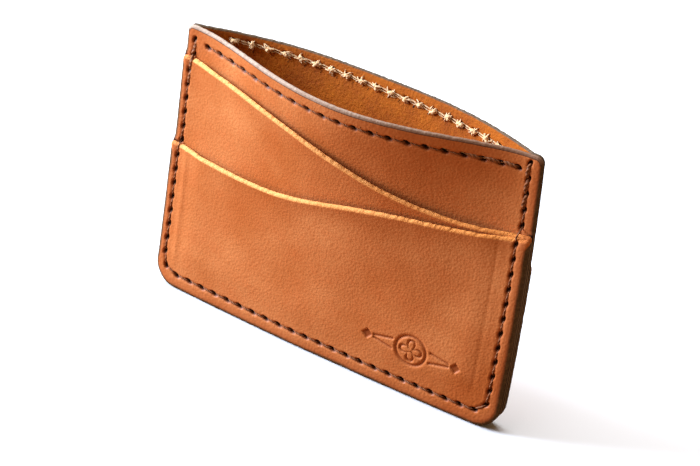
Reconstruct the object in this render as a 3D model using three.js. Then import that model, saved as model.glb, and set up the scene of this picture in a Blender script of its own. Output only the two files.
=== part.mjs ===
// Slim leather card wallet, standing on its bottom edge with its mouth slightly open.
// Millimetres. +X runs along the width, the front with its stepped pockets faces -Y, and +Z is up.
// Five layers of leather meet at the sides and the bottom: front pockets, front body, rear body, rear pocket.
import * as THREE from 'three';

// Overall size of the two body panels
const width = 102;
const height = 73.6;
const lowerCornerRadius = 6.5;
const upperCornerRadius = 2;

// Leather and the glue lines between its layers
const bodyThickness = 1.1;
const pocketThickness = 1.1;
const glueLine = 0.08;
const pocketSlack = 0.3; // air behind a pocket, away from its seams
const slackReach = 9; // how far from a seam the full slack is reached

// Pocket edges: each runs in one long S from its left drop to its right drop below the rim
const upperDropLeft = 8.2;
const upperDropRight = 21.8;
const upperBendX = 2.5;
const upperBendLength = 23;
const lowerDropLeft = 32.6;
const lowerBendX = -3;
const lowerBendLength = 18;
const pocketEdgeStep = 0.4; // the lower front pocket ends this far under the upper one at the right
const edgeUpturn = 2; // both front edges turn up again towards the right seam
const upturnLength = 23;
const rearDropLeft = 17;
const rearDropRight = 29;
const rearBendX = 0;
const rearBendLength = 20;

// How the mouth opens: each body panel bows away from the middle, most at the centre of its rim
const frontBow = 11.4;
const rearBow = 11;
const bowGrowth = 1.8; // power of the height
const frontRoundness = 2;
const frontEase = 1.9;
const rearRoundnessLeft = 3;
const rearEaseLeft = 1.2;
const rearRoundnessRight = 2.5;
const rearEaseRight = 1.05;
const rimDropPerBow = 0.012; // a bowed rim sits lower
const drawInLeft = 0.7; // the sides are drawn in at the top by the open mouth
const drawInRight = 2.9;
const leanLeft = -3.3; // the upper side edges lean to the front
const leanRight = 0;
const leanGrowth = 2.3;
const planBow = -1.5; // the whole stack keeps a slight curve along its width

// Stitching
const threadDiameter = 0.7;
const threadClearance = 0.15;
const stitchPitch = 4;
const rimStitchPitch = 4.6;
const stitchArch = 0.15; // a stitch is this much higher in its middle than at its holes
const leftMargin = 2.6;
const rightMargin = 3.4;
const bottomMargin = 4.2;
const rimMargin = 4.1;
const leftSeamDrop = 3.6; // from the rim to the perimeter seam's ends
const rightSeamDrop = 2.2;
const innerDropLeft = 2.2; // from the rim to the inner threads' ends
const innerDropRight = 3.8;
const seamCornerRadius = 4;
const rimSeamGap = 4.2; // from the perimeter seam to the first stitch of a rim seam
const innerMouthGap = 2.2; // an inner rim thread ends where the mouth is this much wider than its thread

// Mesh density
const panelColumns = 24;
const rowHeight = 8; // the layers share these rows, so that their facets lie parallel
const edgeRows = 2; // and each has its own rows up to its top edge
const leastEdgeRow = 2;
const lowerCornerSteps = 5;
const upperCornerSteps = 3;
const threadSides = 6;
const pointsPerStitch = 2;

const halfWidth = width / 2;
const front = -1;
const rear = 1;
const step = 0.01; // for slopes

const tanLeather = new THREE.MeshStandardMaterial({ color: 0xc8763c, roughness: 0.55, metalness: 0 });
const darkThread = new THREE.MeshStandardMaterial({ color: 0x2e1d14, roughness: 0.8, metalness: 0 });
const paleThread = new THREE.MeshStandardMaterial({ color: 0xe0c49a, roughness: 0.8, metalness: 0 });

function smoothstep(low, high, value) {
  const t = THREE.MathUtils.clamp((value - low) / (high - low), 0, 1);
  return t * t * (3 - 2 * t);
}

// Distance from the centre of the width to the side seam on the same side as x
const seamReach = (x) => halfWidth - (x > 0 ? rightMargin : leftMargin);

// 0 on the side seams, 1 at the centre of the width; fuller for a larger roundness, softer for a larger ease
function bowProfile(x, roundness, ease) {
  const across = THREE.MathUtils.clamp(Math.abs(x) / seamReach(x), 0, 1);
  return Math.pow(1 - Math.pow(across, roundness), ease);
}

function bowOf(side, x, z) {
  const risen = Math.pow(THREE.MathUtils.clamp(z / height, 0, 1), bowGrowth);
  if (side === front) return frontBow * risen * bowProfile(x, frontRoundness, frontEase);
  if (x < 0) return rearBow * risen * bowProfile(x, rearRoundnessLeft, rearEaseLeft);
  return rearBow * risen * bowProfile(x, rearRoundnessRight, rearEaseRight);
}

// The inner face of one body panel, without its half of the glue line
function innerFace(side, x, z) {
  const across = x / halfWidth;
  const risen = Math.pow(THREE.MathUtils.clamp(z / height, 0, 1), leanGrowth);
  const drawIn = across > 0 ? drawInRight * across : drawInLeft * across;
  const lean = (leanLeft * (1 - across) + leanRight * (1 + across)) / 2;
  const bow = bowOf(side, x, z);
  return new THREE.Vector3(
    x - risen * drawIn,
    side * bow + risen * lean + planBow * (1 - across * across),
    z - rimDropPerBow * bow,
  );
}

// A point at a distance out of that face, along its normal; a negative distance is inside the mouth
function onPanel(side, x, z, distance) {
  const here = innerFace(side, x, z);
  const alongX = innerFace(side, x + step, z).sub(innerFace(side, x - step, z));
  const alongZ = innerFace(side, x, z + step).sub(innerFace(side, x, z - step));
  const normal = alongX.cross(alongZ).normalize();
  return here.addScaledVector(normal, side * -distance);
}

// How far a pocket stands off the layer behind it: nothing at the seams, the slack in the open middle
function slackAt(x, z) {
  const fromSide = seamReach(x) - Math.abs(x);
  return pocketSlack * smoothstep(0, slackReach, fromSide) * smoothstep(0, slackReach, z - bottomMargin);
}

// Distance from the inner face of a body panel to the outside of the layers stacked on it
function stackOutside(layers, x, z) {
  const body = glueLine / 2 + bodyThickness;
  return body + layers * (glueLine + slackAt(x, z) + pocketThickness);
}

// One long S between two heights, flat at both ends
function sweep(x, left, right, bendX, bendLength) {
  const turn = (at) => Math.tanh((at - bendX) / bendLength);
  const share = (turn(x) - turn(-halfWidth)) / (turn(halfWidth) - turn(-halfWidth));
  return left + (right - left) * share;
}

function cornerRise(x, radius) {
  const past = Math.max(0, Math.abs(x) - (halfWidth - radius));
  return radius - Math.sqrt(Math.max(0, radius * radius - past * past));
}

const bottomEdge = (x) => cornerRise(x, lowerCornerRadius);
const rimEdge = (x) => height - cornerRise(x, upperCornerRadius);
const rearPocketEdge = (x) => height - sweep(x, rearDropLeft, rearDropRight, rearBendX, rearBendLength);

function upperPocketEdge(x) {
  const along = Math.max(0, x - halfWidth + upturnLength) / upturnLength;
  const drop = sweep(x, upperDropLeft, upperDropRight, upperBendX, upperBendLength);
  return height - drop + edgeUpturn * along * along;
}

function lowerPocketEdge(x) {
  const along = Math.max(0, x - halfWidth + upturnLength) / upturnLength;
  const lowerDropRight = upperDropRight + pocketEdgeStep;
  const drop = sweep(x, lowerDropLeft, lowerDropRight, lowerBendX, lowerBendLength);
  return Math.min(height - drop + edgeUpturn * along * along, upperPocketEdge(x) - pocketEdgeStep);
}

// Columns of a panel's grid: even in the middle, following the arcs at the corners
function columnPlaces(arcs) {
  const places = new Set();
  const straight = halfWidth - lowerCornerRadius;
  for (let i = 0; i <= panelColumns; i++) {
    places.add(-straight + (2 * straight * i) / panelColumns);
  }
  for (const { radius, steps } of arcs) {
    for (let i = 1; i <= steps; i++) {
      const x = halfWidth - radius + radius * Math.sin((Math.PI / 2) * (i / steps));
      places.add(x);
      places.add(-x);
    }
  }
  const sorted = [...places].sort((a, b) => a - b);
  return sorted.filter((x, i) => i === 0 || x - sorted[i - 1] > 0.05);
}

// A closed slab of leather between an inner and an outer surface, both of them grids over the same outline
function leatherPanel(name, { side, layer, topEdge, arcs }) {
  const columns = columnPlaces(arcs);
  const across = columns.length;
  const lowestTop = Math.min(...columns.map(topEdge));
  const sharedRows = Math.floor((lowestTop - leastEdgeRow) / rowHeight);
  const rows = sharedRows + edgeRows;
  const up = rows + 1;
  const inside = (x, z) => (layer === 0 ? glueLine / 2 : stackOutside(layer, x, z) - pocketThickness);
  const outside = (x, z) => stackOutside(layer, x, z);
  const positions = [];
  for (const distance of [inside, outside]) {
    for (const x of columns) {
      const shared = sharedRows * rowHeight;
      for (let j = 0; j < up; j++) {
        const past = Math.max(0, j - sharedRows) / edgeRows;
        const z = Math.max(bottomEdge(x), Math.min(j, sharedRows) * rowHeight) + (topEdge(x) - shared) * past;
        positions.push(...onPanel(side, x, z, distance(x, z)).toArray());
      }
    }
  }
  const vertex = (face, i, j) => (face * across + i) * up + j;
  const triangles = [];
  const quad = (a, b, c, d) => triangles.push(a, b, c, a, c, d);
  for (let i = 0; i + 1 < across; i++) {
    for (let j = 0; j < rows; j++) {
      quad(vertex(0, i, j), vertex(0, i, j + 1), vertex(0, i + 1, j + 1), vertex(0, i + 1, j));
      quad(vertex(1, i, j), vertex(1, i + 1, j), vertex(1, i + 1, j + 1), vertex(1, i, j + 1));
    }
    quad(vertex(0, i, 0), vertex(0, i + 1, 0), vertex(1, i + 1, 0), vertex(1, i, 0));
    quad(vertex(0, i, rows), vertex(1, i, rows), vertex(1, i + 1, rows), vertex(0, i + 1, rows));
  }
  for (let j = 0; j < rows; j++) {
    const last = across - 1;
    quad(vertex(0, 0, j), vertex(1, 0, j), vertex(1, 0, j + 1), vertex(0, 0, j + 1));
    quad(vertex(0, last, j), vertex(0, last, j + 1), vertex(1, last, j + 1), vertex(1, last, j));
  }
  if (side === rear) triangles.reverse();
  const geometry = new THREE.BufferGeometry();
  geometry.setAttribute('position', new THREE.Float32BufferAttribute(positions, 3));
  geometry.setIndex(triangles);
  geometry.computeVertexNormals();
  const panel = new THREE.Mesh(geometry, tanLeather);
  panel.name = name;
  return panel;
}

// The perimeter seam in the plane of the panels: down the left side, along the bottom and up the right side
function perimeterLine() {
  const left = leftMargin - halfWidth;
  const right = halfWidth - rightMargin;
  const leftTop = height - leftSeamDrop;
  const rightTop = height - rightSeamDrop;
  const round = seamCornerRadius;
  const turnZ = bottomMargin + round;
  const straight = (x0, z0, x1, z1) => new THREE.LineCurve(new THREE.Vector2(x0, z0), new THREE.Vector2(x1, z1));
  const line = new THREE.CurvePath();
  line.add(straight(left, leftTop, left, turnZ));
  line.add(new THREE.EllipseCurve(left + round, turnZ, round, round, Math.PI, 1.5 * Math.PI));
  line.add(straight(left + round, bottomMargin, right - round, bottomMargin));
  line.add(new THREE.EllipseCurve(right - round, turnZ, round, round, 1.5 * Math.PI, 2 * Math.PI));
  line.add(straight(right, turnZ, right, rightTop));
  return line;
}

// Layers under the thread at a height: it stays on the thicker stack until it is clear of a pocket's edge
function layersUnder(side, x, z) {
  const edges = side === front ? [upperPocketEdge, lowerPocketEdge] : [rearPocketEdge];
  const clear = threadDiameter / 2 + threadClearance;
  const ramp = 2 * pocketThickness;
  return edges.reduce((sum, edge) => sum + 1 - smoothstep(clear, clear + ramp, z - edge(x)), 0);
}

// A run of stitches through the given points on a panel, as one tube lying on the leather
function threadRun(name, material, points) {
  const curve = new THREE.CatmullRomCurve3(points);
  const section = new THREE.Shape();
  for (let i = 0; i < threadSides; i++) {
    const turn = (2 * Math.PI * i) / threadSides;
    const corner = [Math.cos(turn) * threadDiameter / 2, Math.sin(turn) * threadDiameter / 2];
    if (i === 0) section.moveTo(...corner);
    else section.lineTo(...corner);
  }
  const steps = points.length - 1;
  const geometry = new THREE.ExtrudeGeometry(section, { steps, extrudePath: curve, bevelEnabled: false });
  const run = new THREE.Mesh(geometry, material);
  run.name = name;
  return run;
}

const archAt = (i) => stitchArch * Math.abs(Math.sin((Math.PI * i) / pointsPerStitch));
const threadRest = threadDiameter / 2 + threadClearance;

function perimeterThread(name, side, material) {
  const line = perimeterLine();
  const stitches = Math.round(line.getLength() / stitchPitch);
  const count = stitches * pointsPerStitch;
  const points = [];
  for (let i = 0; i <= count; i++) {
    const at = line.getPointAt(i / count);
    const leather = stackOutside(layersUnder(side, at.x, at.y), at.x, at.y);
    points.push(onPanel(side, at.x, at.y, leather + threadRest + archAt(i)));
  }
  return threadRun(name, material, points);
}

// Where a rim thread ends on one side: the outer one stops short of the perimeter seam,
// and the inner one also where the mouth gets too narrow for it
function rimReach(hand, inner) {
  const seamZ = height - rimMargin;
  const mouthAt = (x) => bowOf(front, x, seamZ) + bowOf(rear, x, seamZ);
  let x = hand * (seamReach(hand) - rimSeamGap);
  while (inner && mouthAt(x) < threadDiameter + innerMouthGap) x -= hand * rimStitchPitch / 4;
  return x;
}

function rimThread(name, side, inner, material) {
  const start = rimReach(-1, inner);
  const end = rimReach(1, inner);
  const stitches = Math.round((end - start) / rimStitchPitch);
  const count = stitches * pointsPerStitch;
  const points = [];
  for (let i = 0; i <= count; i++) {
    const x = start + ((end - start) * i) / count;
    const innerDrop = THREE.MathUtils.lerp(innerDropLeft, innerDropRight, (x + halfWidth) / width);
    const seamZ = height - (inner ? innerDrop : rimMargin);
    const outward = stackOutside(0, x, seamZ) + threadRest + archAt(i);
    const inward = glueLine / 2 - threadRest - archAt(i);
    points.push(onPanel(side, x, seamZ, inner ? inward : outward));
  }
  return threadRun(name, material, points);
}

const lowerArc = { radius: lowerCornerRadius, steps: lowerCornerSteps };
const upperArc = { radius: upperCornerRadius, steps: upperCornerSteps };
const bodyPanel = { layer: 0, topEdge: rimEdge, arcs: [lowerArc, upperArc] };
const pocketPanel = { arcs: [lowerArc] };

const pieces = new THREE.Group();
pieces.add(leatherPanel('front_body_panel', { ...bodyPanel, side: front }));
pieces.add(leatherPanel('rear_body_panel', { ...bodyPanel, side: rear }));
pieces.add(leatherPanel('front_upper_pocket', { ...pocketPanel, side: front, layer: 1, topEdge: upperPocketEdge }));
pieces.add(leatherPanel('front_lower_pocket', { ...pocketPanel, side: front, layer: 2, topEdge: lowerPocketEdge }));
pieces.add(leatherPanel('rear_pocket', { ...pocketPanel, side: rear, layer: 1, topEdge: rearPocketEdge }));
pieces.add(perimeterThread('perimeter_needle_thread', front, darkThread));
pieces.add(perimeterThread('perimeter_bobbin_thread', rear, darkThread));
pieces.add(rimThread('front_rim_needle_thread', front, false, darkThread));
pieces.add(rimThread('front_rim_bobbin_thread', front, true, paleThread));
pieces.add(rimThread('rear_rim_needle_thread', rear, false, darkThread));
pieces.add(rimThread('rear_rim_bobbin_thread', rear, true, paleThread));

// The origin is the centre of the footprint of the whole wallet
const box = new THREE.Box3().setFromObject(pieces, true);
const centre = box.getCenter(new THREE.Vector3());
pieces.position.set(-centre.x, -centre.y, -box.min.z);

const wallet = new THREE.Group();
wallet.add(pieces);
wallet.updateMatrixWorld(true);

export default wallet;
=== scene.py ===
import math
import bpy
import numpy as np
from mathutils import Matrix, Vector


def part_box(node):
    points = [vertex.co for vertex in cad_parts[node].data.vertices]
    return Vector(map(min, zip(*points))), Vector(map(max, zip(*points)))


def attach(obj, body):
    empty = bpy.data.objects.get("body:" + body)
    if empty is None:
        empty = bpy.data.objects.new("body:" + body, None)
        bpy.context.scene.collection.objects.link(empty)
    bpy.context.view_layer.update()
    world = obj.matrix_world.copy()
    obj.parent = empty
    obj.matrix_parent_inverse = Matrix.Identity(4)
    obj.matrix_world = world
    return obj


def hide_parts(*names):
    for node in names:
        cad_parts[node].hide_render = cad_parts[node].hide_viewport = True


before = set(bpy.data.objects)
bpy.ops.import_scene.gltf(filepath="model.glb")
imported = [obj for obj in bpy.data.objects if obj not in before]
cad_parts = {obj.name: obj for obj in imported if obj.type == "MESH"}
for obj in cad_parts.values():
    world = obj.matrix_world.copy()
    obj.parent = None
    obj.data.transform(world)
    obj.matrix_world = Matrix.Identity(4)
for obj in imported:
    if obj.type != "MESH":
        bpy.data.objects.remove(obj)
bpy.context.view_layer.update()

mm = 0.001
front, rear = -1, 1

# The shape that all the layers share, in millimetres; heights are measured up from the bottom edge
wallet = dict(
    width=102, height=73.6, lowerCorner=6.5, upperCorner=2,
    leather=1.1, glueLine=0.08, slack=0.3, slackReach=9,
    frontBow=11.4, rearBow=11, bowGrowth=1.8, rimDrop=0.012,
    frontRoundness=2, frontEase=1.9,
    rearRoundnessLeft=3, rearEaseLeft=1.2, rearRoundnessRight=2.5, rearEaseRight=1.05,
    drawInLeft=0.7, drawInRight=2.9, leanLeft=-3.3, leanRight=0, leanGrowth=2.3, planBow=-1.5,
    leftMargin=2.6, rightMargin=3.4, bottomMargin=4.2, rimMargin=4.1, seamCorner=4,
    leftSeamDrop=3.6, rightSeamDrop=2.2,
)
halfWidth = wallet["width"] / 2
height = wallet["height"]
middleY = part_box("front_body_panel")[1].y / mm + wallet["glueLine"] / 2


def smoothstep(low, high, value):
    share = np.clip((value - low) / (high - low), 0, 1)
    return share * share * (3 - 2 * share)


def seamReach(x):
    return halfWidth - np.where(x > 0, wallet["rightMargin"], wallet["leftMargin"])


def bowOf(side, x, z):
    # Height to a power times one minus the share of the half width to a power
    risen = np.clip(z / height, 0, 1) ** wallet["bowGrowth"]
    across = np.clip(np.abs(x) / seamReach(x), 0, 1)
    if side == front:
        return wallet["frontBow"] * risen * (1 - across ** wallet["frontRoundness"]) ** wallet["frontEase"]
    left = (1 - across ** wallet["rearRoundnessLeft"]) ** wallet["rearEaseLeft"]
    right = (1 - across ** wallet["rearRoundnessRight"]) ** wallet["rearEaseRight"]
    return wallet["rearBow"] * risen * np.where(x < 0, left, right)


def innerFace(side, x, z):
    # The flat panel, bowed out, leaned over and drawn in as it rises, and curved in plan
    across = x / halfWidth
    risen = np.clip(z / height, 0, None) ** wallet["leanGrowth"]
    drawIn = np.where(across > 0, wallet["drawInRight"], wallet["drawInLeft"]) * across
    lean = (wallet["leanLeft"] * (1 - across) + wallet["leanRight"] * (1 + across)) / 2
    bow = bowOf(side, x, z)
    y = side * bow + risen * lean + wallet["planBow"] * (1 - across ** 2)
    return np.stack([x - risen * drawIn, y + middleY, z - wallet["rimDrop"] * bow], axis=-1)


def panelNormal(side, x, z):
    # Cross product of the slopes along the width and the height, pointing out of the wallet
    step = 0.01
    alongX = innerFace(side, x + step, z) - innerFace(side, x - step, z)
    alongZ = innerFace(side, x, z + step) - innerFace(side, x, z - step)
    normal = np.cross(alongX, alongZ)
    return -side * normal / np.linalg.norm(normal, axis=-1, keepdims=True)


def onPanel(side, x, z, out):
    return innerFace(side, x, z) + panelNormal(side, x, z) * out[..., None]


def stackOutside(layers, x, z):
    # Leather and glue of the layers up to this one, with the slack that opens away from the seams
    fromSide = seamReach(x) - np.abs(x)
    fromBottom = z - wallet["bottomMargin"]
    reach = wallet["slackReach"]
    slack = wallet["slack"] * smoothstep(0, reach, fromSide) * smoothstep(0, reach, fromBottom)
    eachLayer = wallet["glueLine"] + slack + wallet["leather"]
    return wallet["glueLine"] / 2 + wallet["leather"] + layers * eachLayer


# Drops below the rim of each pocket's edge, and where and how fast it sweeps down
pocketEdges = dict(
    upper=dict(left=8.2, right=21.8, bendX=2.5, bendLength=23),
    lower=dict(left=32.6, right=22.2, bendX=-3, bendLength=18),
    rear=dict(left=17, right=29, bendX=0, bendLength=20),
    step=0.4, upturn=2, upturnLength=23,
)


def sweepEdge(x, edge):
    # A hyperbolic tangent between the two drops
    turn = np.tanh((x - edge["bendX"]) / edge["bendLength"])
    low = math.tanh((-halfWidth - edge["bendX"]) / edge["bendLength"])
    high = math.tanh((halfWidth - edge["bendX"]) / edge["bendLength"])
    return height - edge["left"] - (edge["right"] - edge["left"]) * (turn - low) / (high - low)


def upturn(x):
    along = np.clip((x - halfWidth) / pocketEdges["upturnLength"] + 1, 0, None)
    return pocketEdges["upturn"] * along ** 2


def rimEdge(x):
    return np.full_like(x, height)


def upperPocketEdge(x):
    return sweepEdge(x, pocketEdges["upper"]) + upturn(x)


def lowerPocketEdge(x):
    swept = sweepEdge(x, pocketEdges["lower"]) + upturn(x)
    return np.minimum(swept, upperPocketEdge(x) - pocketEdges["step"])


def rearPocketEdge(x):
    return sweepEdge(x, pocketEdges["rear"])


def waves(x, z, size, seed):
    # Sum of sixteen cosines of about this wavelength in seeded directions, about one in strength
    draw = np.random.default_rng(seed)
    angle = draw.uniform(0, 2 * math.pi, 16)
    length = size * draw.uniform(0.7, 1.6, 16)
    phase = draw.uniform(0, 2 * math.pi, 16)
    along = x[..., None] * np.cos(angle) + z[..., None] * np.sin(angle)
    return np.cos(2 * math.pi * along / length + phase).sum(axis=-1) / math.sqrt(8)


# Seams: holes lie on a line in the plane of the panels
seams = dict(
    perimeterStitches=56, rimStitches=20, rimLeft=-43.9, rimRight=44.7,
    innerStitches=19, innerLeft=-40, innerRight=40.6, innerDropLeft=2.2, innerDropRight=3.8,
    slotLength=0.84, slotWidth=0.5, slotDepth=0.85, slotTurn=-0.38,
    grooveDepth=0.26, grooveWidth=0.5,
)


def perimeterHoles():
    # Even steps of arc length down the left margin, round the corners, along the bottom and up the right
    left = wallet["leftMargin"] - halfWidth
    right = halfWidth - wallet["rightMargin"]
    leftTop, rightTop = height - wallet["leftSeamDrop"], height - wallet["rightSeamDrop"]
    corner = wallet["seamCorner"]
    turnZ = wallet["bottomMargin"] + corner
    quarter = np.linspace(0, math.pi / 2, 24)
    x = np.concatenate([[left], left + corner - corner * np.cos(quarter),
                        right - corner + corner * np.sin(quarter), [right]])
    z = np.concatenate([[leftTop], turnZ - corner * np.sin(quarter),
                        turnZ - corner * np.cos(quarter), [rightTop]])
    along = np.concatenate([[0], np.cumsum(np.hypot(np.diff(x), np.diff(z)))])
    at = np.linspace(0, along[-1], seams["perimeterStitches"] + 1)
    return np.interp(at, along, x), np.interp(at, along, z)


def rimHoles():
    x = np.linspace(seams["rimLeft"], seams["rimRight"], seams["rimStitches"] + 1)
    return x, np.full_like(x, height - wallet["rimMargin"])


def innerHoles():
    x = np.linspace(seams["innerLeft"], seams["innerRight"], seams["innerStitches"] + 1)
    share = (x + halfWidth) / wallet["width"]
    return x, height - seams["innerDropLeft"] * (1 - share) - seams["innerDropRight"] * share


def seamDirection(holes):
    x, z = holes
    along = np.stack([np.gradient(x), np.gradient(z)], axis=-1)
    return along / np.linalg.norm(along, axis=-1, keepdims=True)


def slotShade(x, z, holes):
    # Fourth-power bell over each slanted slot: one in its middle, nothing a slot's length away
    turn = seams["slotTurn"]
    direction = seamDirection(holes)
    ux = direction[:, 0] * math.cos(turn) - direction[:, 1] * math.sin(turn)
    uz = direction[:, 0] * math.sin(turn) + direction[:, 1] * math.cos(turn)
    dx = x[..., None] - holes[0]
    dz = z[..., None] - holes[1]
    along = (dx * ux + dz * uz) / seams["slotLength"]
    off = (dz * ux - dx * uz) / seams["slotWidth"]
    return np.exp(-(along ** 2 + off ** 2) ** 2 * 0.6).max(axis=-1)


def seamDistance(x, z, holes):
    # Shortest distance to the straight stitches between the holes
    x0, x1 = holes[0][:-1], holes[0][1:]
    z0, z1 = holes[1][:-1], holes[1][1:]
    runX, runZ = x1 - x0, z1 - z0
    share = ((x[..., None] - x0) * runX + (z[..., None] - z0) * runZ) / (runX ** 2 + runZ ** 2)
    share = np.clip(share, 0, 1)
    return np.hypot(x[..., None] - x0 - share * runX, z[..., None] - z0 - share * runZ).min(axis=-1)


def seamRelief(x, z, lines):
    # A shallow groove along each line and a pit at each hole; returns the depth and the slots' shade
    depth = np.zeros_like(x)
    shade = np.zeros_like(x)
    for holes in lines:
        groove = np.exp(-(seamDistance(x, z, holes) / seams["grooveWidth"]) ** 2)
        slot = slotShade(x, z, holes)
        depth = np.maximum(depth, seams["grooveDepth"] * groove + seams["slotDepth"] * slot)
        shade = np.maximum(shade, slot)
    return depth, shade


def edgeDistance(x, z):
    # Distance in from the sides and the bottom, round the lower corners
    radius = wallet["lowerCorner"]
    overX, overZ = np.abs(x) - (halfWidth - radius), radius - z
    corner = np.hypot(np.maximum(overX, 0), np.maximum(overZ, 0))
    return radius - corner - np.minimum(np.maximum(overX, overZ), 0)


def makeMesh(name, points, faceSets, attributes, material):
    # Points in millimetres, faces as arrays of one length each
    mesh = bpy.data.meshes.new(name)
    mesh.vertices.add(len(points))
    mesh.vertices.foreach_set("co", (points * mm).astype(np.float32).ravel())
    corners = np.concatenate([faces.ravel() for faces in faceSets])
    sizes = np.concatenate([np.full(len(faces), faces.shape[1]) for faces in faceSets])
    mesh.loops.add(len(corners))
    mesh.loops.foreach_set("vertex_index", corners.astype(np.int32))
    mesh.polygons.add(len(sizes))
    mesh.polygons.foreach_set("loop_start", (np.cumsum(sizes) - sizes).astype(np.int32))
    mesh.update(calc_edges=True)
    mesh.validate()
    mesh.polygons.foreach_set("use_smooth", np.ones(len(sizes), dtype=bool))
    for key, values in attributes.items():
        mesh.attributes.new(key, "FLOAT", "POINT").data.foreach_set("value", values.astype(np.float32))
    mesh.materials.append(material)
    piece = bpy.data.objects.new(name, mesh)
    bpy.context.scene.collection.objects.link(piece)
    return piece


def cornerArc(fromCorner, radius):
    # A point near a sharp corner slides onto the arc: how far it then is from both sides' ends
    left = (1 - np.clip(fromCorner / radius, 0, 1)) * math.pi / 4
    along = np.where(fromCorner < radius, radius * (1 - np.sin(left)), fromCorner)
    return along, radius * (1 - np.cos(left))


def outline(cut, inset):
    # The cut's rounded outline moved in by the inset: bottom, right, top and left, as shares of each side
    across, up = cut["across"], cut["up"]
    n, m = len(across) - 1, len(up) - 1
    low = np.maximum(wallet["lowerCorner"] - inset, 0.05)
    high = np.maximum(cut["upperCorner"] - inset, 0.05)
    half = halfWidth - inset
    slope = 0.05

    def topAt(x, inset):
        rise = (cut["top"](x + slope) - cut["top"](x - slope)) / (2 * slope)
        return cut["top"](x) - inset * np.hypot(1, rise)

    share = np.concatenate([across[:-1], up[:-1], across[:0:-1], up[:0:-1]])
    share = np.broadcast_to(share, inset.shape)
    part = np.repeat([0, 1, 2, 3], [n, m, n, m])
    handed = np.where(share < 0.5, -1, 1)
    fromEnd = np.minimum(share, 1 - share) * 2 * half
    lowAlong, lowOff = cornerArc(fromEnd, low)
    highAlong, highOff = cornerArc(fromEnd, high)
    bottomX, bottomZ = handed * (half - lowAlong), inset + lowOff
    topX = handed * (half - highAlong)
    topZ = topAt(topX, inset) - highOff
    hand = np.where(part == 1, 1, -1)
    sideTop = topAt(hand * half, inset)
    tall = sideTop - inset
    lowAlong, lowOff = cornerArc(share * tall, low)
    highAlong, highOff = cornerArc((1 - share) * tall, high)
    sideX = hand * (half - lowOff - highOff)
    sideZ = np.where(share < 0.5, inset + lowAlong, topAt(sideX, inset) - highAlong)
    x = np.select([part == 0, part == 2], [bottomX, topX], sideX)
    z = np.select([part == 0, part == 2], [bottomZ, topZ], sideZ)
    return x, z


def fillIn(loop, across, up):
    # Coons patch: each point blends the four sides of the loop, less the blend of its corners
    n, m = len(across) - 1, len(up) - 1
    closed = np.concatenate([loop, loop[:1]])
    bottom = closed[:n + 1][:, None]
    right = closed[n:n + m + 1][None, :]
    top = closed[n + m:2 * n + m + 1][::-1][:, None]
    left = closed[2 * n + m:][::-1][None, :]
    s, t = across[:, None], up[None, :]
    lowCorners = (1 - t) * ((1 - s) * bottom[0] + s * bottom[-1])
    corners = lowCorners + t * ((1 - s) * top[0] + s * top[-1])
    return (1 - t) * bottom + t * top + (1 - s) * left + s * right - corners


def spread(stops):
    # Positions from 0 to 1: each stop gives a place and the spacing up to it
    places = [np.array([0.0])]
    for (start, _), (end, spacing) in zip(stops[:-1], stops[1:]):
        count = max(1, round((end - start) / spacing))
        places.append(np.linspace(start, end, count + 1)[1:])
    every = np.concatenate(places)
    return every / every[-1]


flatSteps, arcSteps, wallSteps = 3, 4, 3
marginSlope = dict(depth=0.25, width=3)  # the stack thins towards its burnished edge


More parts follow.
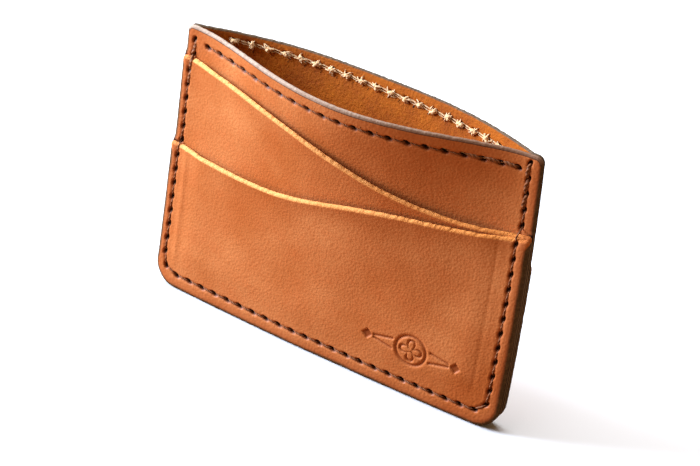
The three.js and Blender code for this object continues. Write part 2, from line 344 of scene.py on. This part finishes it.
def leatherSheet(name, node, side, layer, cut, material):
    # A closed sheet: outer and inner surfaces over one outline, joined by a profile carried round its edge
    across, up = cut["across"], cut["up"]
    n, m = len(across) - 1, len(up) - 1
    count = 2 * (n + m)
    core = cut["core"]
    edgeX, edgeZ = outline(cut, np.zeros(count))
    atTop = smoothstep(-2.2, -0.6, edgeZ - cut["top"](edgeX))
    bare = cut["outermost"](edgeX, edgeZ)

    def blend(key):
        atRim, atBare, atCovered = cut[key]
        return atRim * atTop + (1 - atTop) * (atBare * bare + atCovered * (1 - bare))

    outerRound, outerDepth = blend("outerRound"), blend("outerDepth")
    innerRound, innerDepth = blend("innerRound"), blend("innerDepth")
    thick = wallet["leather"]
    inset, through = [], []
    for k in range(flatSteps):
        inset.append(core + (outerRound - core) * k / flatSteps)
        through.append(np.zeros(count))
    for k in range(arcSteps + 1):
        turn = k / arcSteps * math.pi / 2
        inset.append(outerRound * (1 - math.sin(turn)))
        through.append(outerDepth / thick * (1 - math.cos(turn)))
    for k in range(1, wallSteps):
        share = k / wallSteps
        inset.append(np.zeros(count))
        through.append(outerDepth / thick * (1 - share) + (1 - innerDepth / thick) * share)
    for k in range(arcSteps + 1):
        turn = k / arcSteps * math.pi / 2
        inset.append(innerRound * (1 - math.cos(turn)))
        through.append(1 - innerDepth / thick * (1 - math.sin(turn)))
    for k in range(1, flatSteps + 1):
        inset.append(innerRound + (core - innerRound) * k / flatSteps)
        through.append(np.ones(count))
    inset, through = np.stack(inset), np.stack(through)
    edge = np.clip(1 - inset / np.where(through < 0.5, outerRound, np.maximum(innerRound, 0.2)), 0, 1)
    covered = (1 - atTop) * np.where(through < 0.5, 1 - bare, 1)
    # Painted shade: where another layer covers this sheet's edge, the edge is painted dark like the slots
    crevice = covered * smoothstep(0.3, 0.42, np.abs(through - 0.5))
    rough = cut["roughEdge"] * atTop + 0.03 * (1 - atTop)
    nicks = waves(edgeX, edgeZ, 1.1, 5) * 0.5 + waves(edgeX, edgeZ, 3.5, 6)
    inset = inset + edge * rough * np.abs(nicks)
    ringX, ringZ = outline(cut, inset)
    coreX = fillIn(ringX[0], across, up)
    coreZ = fillIn(ringZ[0], across, up)

    x = np.concatenate([coreX.ravel(), ringX[1:-1].ravel(), coreX.ravel()])
    z = np.concatenate([coreZ.ravel(), ringZ[1:-1].ravel(), coreZ.ravel()])
    grid = coreX.size
    share = np.concatenate([np.zeros(grid), through[1:-1].ravel(), np.ones(grid)])

    def onRings(values):
        # Zero over both surfaces, and these values on the rings between them
        between = np.broadcast_to(values, inset.shape)[1:-1].ravel()
        return np.concatenate([np.zeros(grid), between, np.zeros(grid)])

    edgeShare = onRings(edge)
    creviceShare = onRings(crevice)
    topShare = onRings(atTop)
    outside, inside = stackOutside(layer, x, z), stackOutside(layer, x, z) - thick
    if layer == 0:
        inside = np.full_like(x, wallet["glueLine"] / 2)
    outerDeep, outerShade = seamRelief(x, z, cut["outerSeams"])
    innerDeep, innerShade = seamRelief(x, z, cut["innerSeams"])
    fromSide = edgeDistance(x, z)
    pressed = marginSlope["depth"] * np.clip(1 - fromSide / marginSlope["width"], 0, 1) ** 2
    pressed = pressed * cut["outermost"](x, z)
    relief = cut["relief"](x, z)
    outside = outside - outerDeep - pressed + relief
    inside = inside + innerDeep
    fromTop = cut["top"](x) - z
    flare = cut["flare"] * np.exp(-fromTop / 4) * smoothstep(0, 11, seamReach(x) - np.abs(x))
    out = outside * (1 - share) + inside * share + flare
    points = onPanel(side, x, z, out)

    number = np.arange(grid).reshape(n + 1, m + 1)
    border = np.concatenate([number[:-1, 0], number[-1, :-1], number[:0:-1, -1], number[0, :0:-1]])
    between = grid + np.arange((len(inset) - 2) * count).reshape(-1, count)
    last = grid + between.size
    rings = np.concatenate([border[None], between, (last + border)[None]])
    sheet = np.stack([number[:-1, :-1], number[1:, :-1], number[1:, 1:], number[:-1, 1:]], axis=-1)
    sheet = sheet.reshape(-1, 4)
    after = np.roll(rings, -1, axis=1)
    strip = np.stack([rings[:-1], rings[1:], after[1:], after[:-1]], axis=-1).reshape(-1, 4)
    faces = np.concatenate([sheet, strip, last + sheet[:, ::-1]])
    if side == rear:
        faces = faces[:, ::-1]
    raw = edgeShare * topShare * cut["rawTop"]
    attributes = dict(
        rawEdge=raw,
        burnish=edgeShare * (1 - topShare * np.maximum(cut["rawTop"], cut["paleRim"])),
        rim=edgeShare * topShare * cut["paleRim"],
        # Painted shade: edges darker towards the right, where less light falls
        paintedFalloff=smoothstep(-38, 44, x + waves(x, z, 9, 8) * 3),
        fromSide=fromSide,
        fleshSide=smoothstep(0.55, 1, share),
        # slot: painted shade in the stitch slots and the covered crevices
        slot=np.maximum(np.where(share < 0.5, outerShade, innerShade), creviceShare),
        # groove: depth of the seam grooves and the pressed ornament, used for painted shade
        groove=np.where(share < 0.5, outerDeep - 0.8 * np.minimum(relief + 0.1, 0), innerDeep),
    )
    piece = makeMesh(name, points, [faces], attributes, material)
    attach(piece, "root")
    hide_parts(node)
    print(name, len(faces) * 2, "triangles")
    return piece


def addNode(tree, kind, settings={}, **sockets):
    node = tree.nodes.new(kind)
    for key, value in settings.items():
        setattr(node, key, value)
    for key, value in sockets.items():
        join(tree, value, node.inputs[key.replace("_", " ")])
    return node


def join(tree, source, socket):
    if isinstance(source, bpy.types.NodeSocket):
        tree.links.new(source, socket)
    else:
        socket.default_value = source


def mixColour(tree, amount, first, second):
    node = tree.nodes.new("ShaderNodeMix")
    node.data_type = "RGBA"
    for place, source in zip((0, 6, 7), (amount, first, second)):
        join(tree, source, node.inputs[place])
    return node.outputs[2]


def maths(tree, operation, first, second=0.0):
    node = tree.nodes.new("ShaderNodeMath")
    node.operation = operation
    join(tree, first, node.inputs[0])
    join(tree, second, node.inputs[1])
    return node.outputs[0]


def remap(tree, value, low, high, toLow=0.0, toHigh=1.0):
    node = addNode(tree, "ShaderNodeMapRange", From_Min=low, From_Max=high, To_Min=toLow, To_Max=toHigh)
    join(tree, value, node.inputs[0])
    return node.outputs[0]


def noise(tree, place, scale, detail=3.0, roughness=0.5):
    node = addNode(tree, "ShaderNodeTexNoise", Vector=place, Scale=scale, Detail=detail, Roughness=roughness)
    return node.outputs["Fac"]


def attribute(tree, name):
    return addNode(tree, "ShaderNodeAttribute", {"attribute_name": name}).outputs["Fac"]


def newMaterial(name):
    material = bpy.data.materials.new(name)
    material.use_nodes = True
    tree = material.node_tree
    tree.nodes.clear()
    output = tree.nodes.new("ShaderNodeOutputMaterial")
    shader = tree.nodes.new("ShaderNodeBsdfPrincipled")
    tree.links.new(shader.outputs[0], output.inputs[0])
    return material, tree, shader


# How fine each pattern is; larger is finer
patternScale = dict(
    broad=38.0, nap=120.0, mottle=210.0, creases=420.0, fibre=900.0, fine=1500.0, pebble=1800.0, fluff=2600.0,
)

leatherLook = dict(
    light=(0.70, 0.280, 0.100, 1), deep=(0.46, 0.122, 0.024, 1), blush=(0.60, 0.165, 0.040, 1),
    margin=(0.42, 0.10, 0.028, 1),
    flesh=(0.50, 0.130, 0.002, 1), fleshDeep=(0.28, 0.055, 0.001, 1), fleshLight=(0.64, 0.21, 0.008, 1),
    raw=(1.0, 0.56, 0.20, 1), rawDeep=(0.80, 0.33, 0.08, 1),
    burnished=(0.070, 0.043, 0.020, 1), burnishedLight=(0.20, 0.135, 0.068, 1),
    rawShaded=(0.76, 0.27, 0.055, 1),
    # The rim tones paint the overhead softbox's reflection pale on the burnished top edge
    rim=(0.45, 0.36, 0.29, 1), rimDeep=(0.23, 0.12, 0.075, 1), rimLine=(0.08, 0.030, 0.015, 1),
    rimShaded=(0.20, 0.105, 0.062, 1),
    # pressed and slot: painted shade for recesses and holes
    pressed=(0.27, 0.062, 0.016, 1), slot=(0.016, 0.003, 0.0015, 1),
)


def leatherMaterial(name, look):
    material, tree, shader = newMaterial(name)
    place = addNode(tree, "ShaderNodeTexCoord").outputs["Object"]
    broad = noise(tree, place, patternScale["broad"], 3.0, 0.55)
    mottle = noise(tree, place, patternScale["mottle"], 4.0, 0.6)
    fine = noise(tree, place, patternScale["fine"], 3.0, 0.6)
    pebble = addNode(tree, "ShaderNodeTexVoronoi", {"feature": "SMOOTH_F1"},
                     Vector=place, Scale=patternScale["pebble"])
    cells = pebble.outputs["Distance"]
    grain = mixColour(tree, remap(tree, broad, 0.3, 0.7), look["light"], look["deep"])
    grain = mixColour(tree, remap(tree, mottle, 0.45, 0.8, 0.0, 0.45), grain, look["blush"])
    grain = mixColour(tree, remap(tree, fine, 0.35, 0.75, 0.0, 0.3), grain, look["deep"])
    grain = mixColour(tree, remap(tree, cells, 0.45, 0.8, 0.0, 0.3), grain, look["deep"])

    # Painted shade: the seam grooves and the pressed ornament darken with their depth, and the slots are
    # painted nearly black
    groove = attribute(tree, "groove")
    slot = attribute(tree, "slot")
    grain = mixColour(tree, remap(tree, groove, 0.02, 0.3, 0.0, 0.8), grain, look["pressed"])

    fibre = noise(tree, place, patternScale["fibre"], 5.0, 0.75)
    nap = noise(tree, place, patternScale["nap"], 4.0, 0.65)
    flesh = mixColour(tree, remap(tree, nap, 0.3, 0.75), look["flesh"], look["fleshDeep"])
    flesh = mixColour(tree, remap(tree, fibre, 0.4, 0.8, 0.0, 0.4), flesh, look["fleshLight"])
    fleshSide = attribute(tree, "fleshSide")
    colour = mixColour(tree, fleshSide, grain, flesh)

    # The margins outside the seams are a little redder and darker
    fromSide = attribute(tree, "fromSide")
    marginAmount = maths(tree, "MULTIPLY", remap(tree, fromSide, 0.6, 3.4, 0.55, 0.0),
                         maths(tree, "SUBTRACT", 1.0, fleshSide))
    colour = mixColour(tree, marginAmount, colour, look["margin"])

    raw = attribute(tree, "rawEdge")
    # Painted shade: the raw edges turn deeper orange towards the right
    rawTone = mixColour(tree, attribute(tree, "paintedFalloff"), look["raw"], look["rawShaded"])
    rawTone = mixColour(tree, remap(tree, fibre, 0.35, 0.75, 0.0, 0.8), rawTone, look["rawDeep"])
    rawTone = mixColour(tree, remap(tree, fromSide, 1.0, 4.5, 0.75, 0.0), rawTone, look["blush"])
    rawAmount = remap(tree, raw, 0.1, 0.3)
    colour = mixColour(tree, rawAmount, colour, rawTone)

    # Painted reflection: the front rim is pale grey where it reflects the softbox above, darker at the band's
    # edge, and painted shade darkens it towards the right
    rim = attribute(tree, "rim")
    rimReflectionTone = mixColour(tree, attribute(tree, "paintedFalloff"), look["rim"], look["rimShaded"])
    rimReflectionTone = mixColour(tree, remap(tree, fibre, 0.45, 0.75, 0.0, 0.8), rimReflectionTone, look["rimDeep"])
    rimReflectionTone = mixColour(tree, remap(tree, rim, 0.45, 0.2), rimReflectionTone, look["rimLine"])
    rimAmount = remap(tree, maths(tree, "ADD", rim, remap(tree, mottle, 0.3, 0.7, -0.06, 0.06)), 0.08, 0.2)
    colour = mixColour(tree, rimAmount, colour, rimReflectionTone)

    burnish = attribute(tree, "burnish")
    patchy = maths(tree, "ADD", burnish, remap(tree, mottle, 0.3, 0.7, -0.12, 0.12))
    burnishAmount = remap(tree, patchy, 0.12, 0.62)
    burnishTone = mixColour(tree, remap(tree, fibre, 0.45, 0.8), look["burnished"], look["burnishedLight"])
    colour = mixColour(tree, burnishAmount, colour, burnishTone)
    # Painted shade: slots and crevices are nearly black
    colour = mixColour(tree, remap(tree, slot, 0.15, 0.75), colour, look["slot"])
    tree.links.new(colour, shader.inputs["Base Color"])

    rough = remap(tree, mottle, 0.3, 0.7, 0.44, 0.58)
    for amount, value in ((fleshSide, 0.8), (rawAmount, 0.75), (rimAmount, 0.55), (burnishAmount, 0.5)):
        node = tree.nodes.new("ShaderNodeMix")
        join(tree, amount, node.inputs[0])
        join(tree, rough, node.inputs[2])
        join(tree, value, node.inputs[3])
        rough = node.outputs[0]
    tree.links.new(rough, shader.inputs["Roughness"])
    shader.inputs["Specular IOR Level"].default_value = 0.26

    # Pebbled grain: rounded cells with fine pores, and a fibrous nap where the leather is raw
    pebbles = addNode(tree, "ShaderNodeBump", Strength=0.42, Distance=0.0002, Height=cells)
    creases = noise(tree, place, patternScale["creases"], 4.0, 0.6)
    broken = addNode(tree, "ShaderNodeBump", Strength=0.08, Distance=0.0004, Height=creases,
                     Normal=pebbles.outputs[0])
    napped = addNode(tree, "ShaderNodeBump", Distance=0.0005, Height=fibre, Normal=broken.outputs[0])
    fuzz = maths(tree, "MAXIMUM", fleshSide, rawAmount)
    join(tree, remap(tree, fuzz, 0.0, 1.0, 0.02, 0.7), napped.inputs["Strength"])
    tree.links.new(napped.outputs[0], shader.inputs["Normal"])
    return material


threadLook = dict(
    # sunk: painted shade where the thread dips into a slot
    dark=dict(light=(0.44, 0.185, 0.085, 1), deep=(0.13, 0.048, 0.021, 1),
              sunk=(0.016, 0.005, 0.002, 1), rough=0.6),
    pale=dict(light=(1.0, 0.82, 0.56, 1), deep=(0.80, 0.50, 0.24, 1),
              sunk=(0.45, 0.19, 0.05, 1), rough=0.8),
    plyTurn=5.2, plies=2,
)


def threadMaterial(name, look):
    # Plies lie in slanted stripes: a wave of the place along and the place round the thread
    material, tree, shader = newMaterial(name)
    along = attribute(tree, "along")
    around = attribute(tree, "around")
    lengthways = maths(tree, "MULTIPLY", along, threadLook["plyTurn"])
    roundways = maths(tree, "MULTIPLY", around, 2 * math.pi * threadLook["plies"])
    turned = maths(tree, "ADD", lengthways, roundways)
    ply = maths(tree, "SINE", turned)
    place = addNode(tree, "ShaderNodeTexCoord").outputs["Object"]
    fluff = noise(tree, place, patternScale["fluff"], 3.0, 0.7)
    stripes = remap(tree, ply, -1.0, 1.0, 0.1, 0.75)
    tone = maths(tree, "ADD", stripes, remap(tree, fluff, 0.3, 0.7, -0.25, 0.25))
    colour = mixColour(tree, tone, look["deep"], look["light"])
    # Painted shade: the thread is dark where it sinks into the slots
    colour = mixColour(tree, attribute(tree, "sunk"), colour, look["sunk"])
    tree.links.new(colour, shader.inputs["Base Color"])
    shader.inputs["Roughness"].default_value = look["rough"]
    shader.inputs["Specular IOR Level"].default_value = 0.2
    twist = addNode(tree, "ShaderNodeBump", Strength=0.6, Distance=0.00012, Height=ply)
    fluffy = addNode(tree, "ShaderNodeBump", Strength=0.35, Distance=0.0001, Height=fluff,
                     Normal=twist.outputs[0])
    tree.links.new(fluffy.outputs[0], shader.inputs["Normal"])
    return material


bodyLeather = leatherMaterial("bodyLeather", leatherLook)
pocketLeather = leatherMaterial("pocketLeather", leatherLook)
darkThread = threadMaterial("darkThread", threadLook["dark"])
paleThread = threadMaterial("paleThread", threadLook["pale"])


def plain(x, z):
    return waves(x, z, 26, 3) * 0.05


ornament = dict(
    x=25.8, z=13.6, ring=4.1, petal=3, line=0.42,
    barGap=1.5, barStart=5, barEnd=10.6, lozenge=1.5, lozengeGap=1.6, depth=0.42,
)
leftRidge = dict(x=-45.2, width=0.9, rise=0.16)
cardImprint = dict(x=43.2, width=0.5, depth=0.07)


def pressedOrnament(x, z):
    # A ring round four petals, between two pairs of tapering bars that end in lozenges
    dx, dz = x - ornament["x"], z - ornament["z"]
    radius, angle = np.hypot(dx, dz), np.arctan2(dz, dx)
    line = ornament["line"]
    lobe = ornament["petal"] * np.abs(np.cos(2 * angle)) ** 0.7
    petals = np.exp(-((radius - lobe) / line) ** 2) * (radius < ornament["ring"] - 2 * line)
    ring = np.exp(-((radius - ornament["ring"]) / line) ** 2)
    reach = np.abs(dx)
    share = (reach - ornament["barStart"]) / (ornament["barEnd"] - ornament["barStart"])
    inBar = smoothstep(-0.04, 0.04, share) * (1 - smoothstep(0.96, 1.04, share))
    bars = np.exp(-((np.abs(dz) - ornament["barGap"] * (1 - 0.8 * share)) / (line * 0.8)) ** 2) * inBar
    fromLozenge = np.abs(reach - ornament["barEnd"] - ornament["lozengeGap"]) + np.abs(dz)
    lozenge = 1 - smoothstep(0.75, 1.15, fromLozenge / ornament["lozenge"])
    return ornament["depth"] * np.maximum.reduce([petals, ring, bars, lozenge])


def lowerRelief(x, z):
    # A soft ridge inside the left seam and a card's edge showing at the right, and the pressed ornament
    fromRidge = (x - leftRidge["x"]) / leftRidge["width"]
    ridge = leftRidge["rise"] * np.exp(-fromRidge ** 2) * smoothstep(5, 12, z)
    fromCard = (x - cardImprint["x"]) / cardImprint["width"]
    card = cardImprint["depth"] * np.exp(-fromCard ** 2) * smoothstep(6, 12, z)
    return plain(x, z) + ridge - card - pressedOrnament(x, z)


def always(x, z):
    return np.ones_like(x)


def above(edge):
    return lambda x, z: smoothstep(-0.5, 1.5, z - edge(x))


perimeter = perimeterHoles()
rim = rimHoles()
inner = innerHoles()

# Rounding of each sheet's edge: along its top, where it is the outermost layer, and where another covers it
bodyCut = dict(
    upperCorner=wallet["upperCorner"], core=1.95, top=rimEdge,
    across=spread([(0, 0), (12, 0.6), (190, 0.72), (204, 0.6)]),
    outerRound=(1.0, 1.3, 0.24), outerDepth=(0.45, 0.75, 0.17),
    innerRound=(0.7, 0.2, 0.2), innerDepth=(0.38, 0.14, 0.14),
    roughEdge=0.05, rawTop=0, paleRim=1, flare=0, relief=plain,
    outerSeams=[perimeter, rim], innerSeams=[inner],
)
pocketCut = dict(
    upperCorner=0.8, core=2.3,
    across=spread([(0, 0), (12, 0.6), (190, 0.72), (204, 0.6)]),
    outerRound=(1.0, 1.5, 0.24), outerDepth=(0.7, 0.85, 0.17),
    innerRound=(0.3, 0.24, 0.24), innerDepth=(0.2, 0.17, 0.17),
    roughEdge=0.12, rawTop=1, paleRim=0, flare=0.9, relief=plain,
    outerSeams=[perimeter], innerSeams=[],
)
leatherSheet("frontBody", "front_body_panel", front, 0, dict(
    bodyCut, outermost=above(upperPocketEdge), up=spread([(0, 0), (96, 2.2), (147, 0.66)])), bodyLeather)
leatherSheet("rearBody", "rear_body_panel", rear, 0, dict(
    bodyCut, paleRim=0, outermost=above(rearPocketEdge),
    up=spread([(0, 0), (84, 2.2), (147, 0.68)])), bodyLeather)
leatherSheet("upperPocket", "front_upper_pocket", front, 1, dict(
    pocketCut, top=upperPocketEdge, outermost=above(lowerPocketEdge),
    up=spread([(0, 0), (72, 2.2), (132, 0.72)])), pocketLeather)
leatherSheet("lowerPocket", "front_lower_pocket", front, 2, dict(
    pocketCut, top=lowerPocketEdge, outermost=always, relief=lowerRelief,
    across=spread([(0, 0), (12, 0.6), (126, 0.9), (184, 0.48), (204, 0.6)]),
    up=spread([(0, 0), (38, 0.5), (90, 0.95)])), pocketLeather)
leatherSheet("rearPocket", "rear_pocket", rear, 1, dict(
    pocketCut, top=rearPocketEdge, outermost=always,
    up=spread([(0, 0), (16, 0.6), (110, 1.0)])), pocketLeather)
print("leather done")


thread = dict(
    radius=0.21, sides=7, rings=11, sink=0.85, rise=0.14, hump=0.62, slant=0.2, lobes=0.16,
    twist=5.2, twistStep=1.7,
)


def layersUnder(side, x, z):
    # The thread stays on the thicker stack until it is clear of a pocket's edge
    edges = (upperPocketEdge, lowerPocketEdge) if side == front else (rearPocketEdge,)
    return sum(1 - smoothstep(0.3, 2.2, z - edge(x)) for edge in edges)


def tubes(x, z, out, side, radius, along, sunk):
    # Carries a two-lobed round profile along each row of points; returns points, quads and end caps
    centre = onPanel(side, x, z, out)
    count, rings = x.shape
    sides = thread["sides"]
    tangent = np.gradient(centre, axis=1)
    tangent /= np.linalg.norm(tangent, axis=-1, keepdims=True)
    up = panelNormal(side, x, z)
    off = np.cross(tangent, up)
    off /= np.linalg.norm(off, axis=-1, keepdims=True)
    up = np.cross(off, tangent)
    angle = np.linspace(0, 2 * math.pi, sides, endpoint=False)
    lobes = 1 + thread["lobes"] * np.cos(2 * angle + thread["twist"] * along[..., None])
    reach = (radius[..., None] * lobes)[..., None]
    sideways = np.cos(angle)[:, None] * off[:, :, None]
    upwards = np.sin(angle)[:, None] * up[:, :, None]
    points = centre[:, :, None] + reach * (sideways + upwards)
    number = np.arange(count * rings * sides).reshape(count, rings, sides)
    after = np.roll(number, -1, axis=2)
    quads = np.stack([number[:, :-1], number[:, 1:], after[:, 1:], after[:, :-1]], axis=-1).reshape(-1, 4)
    caps = np.concatenate([number[:, 0], number[:, -1, ::-1]])
    around = np.broadcast_to(angle / (2 * math.pi), number.shape)
    spreadOut = lambda values: np.broadcast_to(values[..., None], number.shape).ravel()
    attributes = dict(along=spreadOut(along), around=around.ravel(), sunk=spreadOut(sunk))
    return points.reshape(-1, 3), quads, caps, attributes


def addRuns(name, node, runs, material):
    points, quads, caps, attributes = [], [], [], []
    total = 0
    for run in runs:
        points.append(run[0])
        quads.append(run[1] + total)
        caps.append(run[2] + total)
        attributes.append(run[3])
        total += len(run[0])
    merged = {key: np.concatenate([part[key] for part in attributes]) for key in attributes[0]}
    faceSets = [np.concatenate(quads), np.concatenate(caps)]
    piece = makeMesh(name, np.concatenate(points), faceSets, merged, material)
    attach(piece, "root")
    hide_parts(node)
    print(name, total, "points")
    return piece


def stitches(side, holes, surface, seed, inward=False, shift=0.0, fat=1.0, picked=slice(None)):
    # Each stitch rises out of one slot, lies in the groove and sinks into the next, slanting across the seam
    draw = np.random.default_rng(seed)
    x0, z0 = holes[0][:-1][picked], holes[1][:-1][picked]
    x1, z1 = holes[0][1:][picked], holes[1][1:][picked]
    t = np.linspace(0, 1, thread["rings"])
    runX, runZ = (x1 - x0)[:, None], (z1 - z0)[:, None]
    length = np.hypot(runX, runZ)
    wander = draw.uniform(-0.05, 0.05, (len(x0), 1)) * np.sin(math.pi * t)
    across = thread["slant"] * np.cos(math.pi * t) + wander + shift * np.sin(math.pi * t) ** 0.5
    x = x0[:, None] + runX * t - runZ / length * across
    z = z0[:, None] + runZ * t + runX / length * across
    hump = np.sin(math.pi * t) ** (thread["hump"] if shift == 0 else 0.3)
    lift = -thread["sink"] + (thread["sink"] + thread["rise"]) * hump
    # Painted shade on the parts of the thread that sink into the slots
    sunk = (1 - smoothstep(0.3, 0.75, hump)) * np.ones_like(x)
    lift = lift + draw.uniform(-0.04, 0.04, (len(x0), 1))
    out = surface(x, z) + (-lift if inward else lift)
    radius = thread["radius"] * fat * (0.75 + 0.25 * np.sin(math.pi * t) ** 0.4) * np.ones_like(x)
    along = length * t + np.arange(len(x0))[:, None] * thread["twistStep"]
    return tubes(x, z, out, side, radius, along, sunk)


frontStack = lambda x, z: stackOutside(layersUnder(front, x, z), x, z) - seams["grooveDepth"]
rearStack = lambda x, z: stackOutside(layersUnder(rear, x, z), x, z) - seams["grooveDepth"]
bodySurface = lambda x, z: stackOutside(0, x, z) - seams["grooveDepth"]
insideSurface = lambda x, z: np.full_like(x, wallet["glueLine"] / 2 + seams["grooveDepth"])

firstThree, lastThree = slice(0, 3), slice(-3, None)
addRuns("perimeterNeedleThread", "perimeter_needle_thread", [
    stitches(front, perimeter, frontStack, 11),
    stitches(front, perimeter, frontStack, 12, shift=0.42, fat=1.9, picked=firstThree),
    stitches(front, perimeter, frontStack, 13, shift=0.42, fat=1.9, picked=lastThree),
], darkThread)
addRuns("perimeterBobbinThread", "perimeter_bobbin_thread", [
    stitches(rear, perimeter, rearStack, 14),
    stitches(rear, perimeter, rearStack, 15, shift=0.42, fat=1.9, picked=firstThree),
    stitches(rear, perimeter, rearStack, 16, shift=0.42, fat=1.9, picked=lastThree),
], darkThread)
addRuns("frontRimNeedleThread", "front_rim_needle_thread", [
    stitches(front, rim, bodySurface, 17),
    stitches(front, rim, bodySurface, 18, shift=0.42, fat=1.9, picked=lastThree),
], darkThread)
addRuns("rearRimNeedleThread", "rear_rim_needle_thread", [
    stitches(rear, rim, bodySurface, 19),
    stitches(rear, rim, bodySurface, 20, shift=0.42, fat=1.9, picked=lastThree),
], darkThread)


knot = dict(
    lumps=dict(arms=5, reach=0.85, radius=0.36, lift=0.5, thin=0.35),
    ends=dict(arms=9, reach=1.75, radius=0.17, lift=0.35, thin=0.7),
)


def knots(side, holes, seed, kind):
    # Arms of thread spring from each hole in seeded directions, arching over the leather and thinning out
    draw = np.random.default_rng(seed)
    shape = (len(holes[0]), kind["arms"])
    angle = np.linspace(0, 2 * math.pi, kind["arms"], endpoint=False) + draw.uniform(-0.6, 0.6, shape)
    reach = kind["reach"] * draw.uniform(0.5, 1.2, shape)[..., None]
    t = np.linspace(0, 1, 6)
    turned = angle[..., None] + draw.uniform(-1, 1, shape)[..., None] * t
    startX = holes[0][:, None] + draw.uniform(-0.3, 0.3, shape)
    startZ = holes[1][:, None] + draw.uniform(-0.25, 0.25, shape)
    x = startX[..., None] + reach * t * np.cos(turned)
    z = startZ[..., None] + reach * t * np.sin(turned) * 0.75
    rise = kind["lift"] * np.sin(math.pi * (0.2 + 0.75 * t)) * draw.uniform(0.6, 1.6, shape)[..., None]
    out = wallet["glueLine"] / 2 - rise + 0.05
    radius = kind["radius"] * (1.1 - kind["thin"] * t ** 2) * np.ones_like(x)
    along = reach * t
    rows = (-1, len(t))
    parts = [part.reshape(rows) for part in (radius, along, np.zeros_like(x))]
    return tubes(x.reshape(rows), z.reshape(rows), out.reshape(rows), side, *parts)


def backStitches(side, seed):
    return [
        stitches(side, inner, insideSurface, seed, inward=True, shift=0.25, fat=0.9),
        stitches(side, inner, insideSurface, seed + 1, inward=True, shift=-0.3, fat=0.7),
        knots(side, inner, seed + 2, knot["lumps"]),
        knots(side, inner, seed + 3, knot["ends"]),
    ]


addRuns("rearRimBobbinThread", "rear_rim_bobbin_thread", backStitches(rear, 21),
        paleThread)
addRuns("frontRimBobbinThread", "front_rim_bobbin_thread", backStitches(front, 31),
        paleThread)
print("threads done")


# The paper looks white but gives back less light than it seems to
studio = dict(
    top=14.0, key=28.0, paper=(0.89, 0.94, 1.0, 1),
    fill=(0.20, 0.115, 0.055, 1), bounce=(0.36, 0.185, 0.085, 1), keyTint=(0.92, 1.0, 1.16),
)


def makeFloor():
    size = 6.0
    mesh = bpy.data.meshes.new("floor")
    corners = [(-size, -size, 0), (size, -size, 0), (size, size, 0), (-size, size, 0)]
    mesh.from_pydata(corners, [], [(0, 1, 2, 3)])
    material, tree, shader = newMaterial("palePaper")
    seen = addNode(tree, "ShaderNodeLightPath").outputs["Is Camera Ray"]
    tone = mixColour(tree, seen, studio["bounce"], studio["paper"])
    tree.links.new(tone, shader.inputs["Base Color"])
    shader.inputs["Roughness"].default_value = 0.9
    shader.inputs["Specular IOR Level"].default_value = 0.0
    mesh.materials.append(material)
    floor = bpy.data.objects.new("floor", mesh)
    bpy.context.scene.collection.objects.link(floor)


def addLight(name, place, aim, size, power, tint=(1, 1, 1)):
    light = bpy.data.lights.new(name, "AREA")
    light.shape = "RECTANGLE"
    light.size, light.size_y = size
    light.energy = power
    light.color = tint
    lamp = bpy.data.objects.new(name, light)
    lamp.location = place
    lamp.rotation_euler = (Vector(aim) - Vector(place)).to_track_quat("-Z", "Y").to_euler()
    bpy.context.scene.collection.objects.link(lamp)


def lightStudio():
    # A white paper sweep: the world is white to the camera and a soft fill to everything else
    world = bpy.data.worlds.new("studio")
    world.use_nodes = True
    tree = world.node_tree
    background = tree.nodes["Background"]
    seen = addNode(tree, "ShaderNodeLightPath").outputs["Is Camera Ray"]
    join(tree, mixColour(tree, seen, studio["fill"], (1, 1, 1, 1)), background.inputs["Color"])
    bpy.context.scene.world = world
    centre = (0, 0, 0.04)
    addLight("topSoftbox", (-0.3, 0.14, 0.95), centre, (1.0, 1.0), studio["top"])
    addLight("leftSoftbox", (-0.95, -0.4, 0.45), centre, (0.5, 0.6), studio["key"], studio["keyTint"])
    bpy.context.scene.view_settings.view_transform = "Standard"


view = dict(
    aim=(2.855, -2.915, 35.902), distance=621.27, azimuth=-27.253, elevation=28.038, roll=9.752,
    lens=130.88, sensor=36,
)


def placeCamera():
    # Looks at its aim from a distance, turned about the vertical, raised, and rolled about its own axis
    azimuth, elevation = math.radians(view["azimuth"]), math.radians(view["elevation"])
    forward = Vector((math.sin(azimuth) * math.cos(elevation), math.cos(azimuth) * math.cos(elevation),
                      -math.sin(elevation)))
    right = forward.cross(Vector((0, 0, 1))).normalized()
    up = right.cross(forward)
    roll = math.radians(view["roll"])
    turnedRight = right * math.cos(roll) + up * math.sin(roll)
    turnedUp = up * math.cos(roll) - right * math.sin(roll)
    aim = Vector(view["aim"]) + Vector((0, middleY, 0))
    place = (aim - forward * view["distance"]) * mm
    data = bpy.data.cameras.new("camera")
    data.lens = view["lens"]
    data.sensor_width = view["sensor"]
    data.clip_start = 0.01
    camera = bpy.data.objects.new("camera", data)
    axes = Matrix((turnedRight, turnedUp, -forward)).transposed().to_4x4()
    camera.matrix_world = Matrix.Translation(place) @ axes
    bpy.context.scene.collection.objects.link(camera)
    bpy.context.scene.camera = camera


makeFloor()
lightStudio()
placeCamera()
print("studio done")
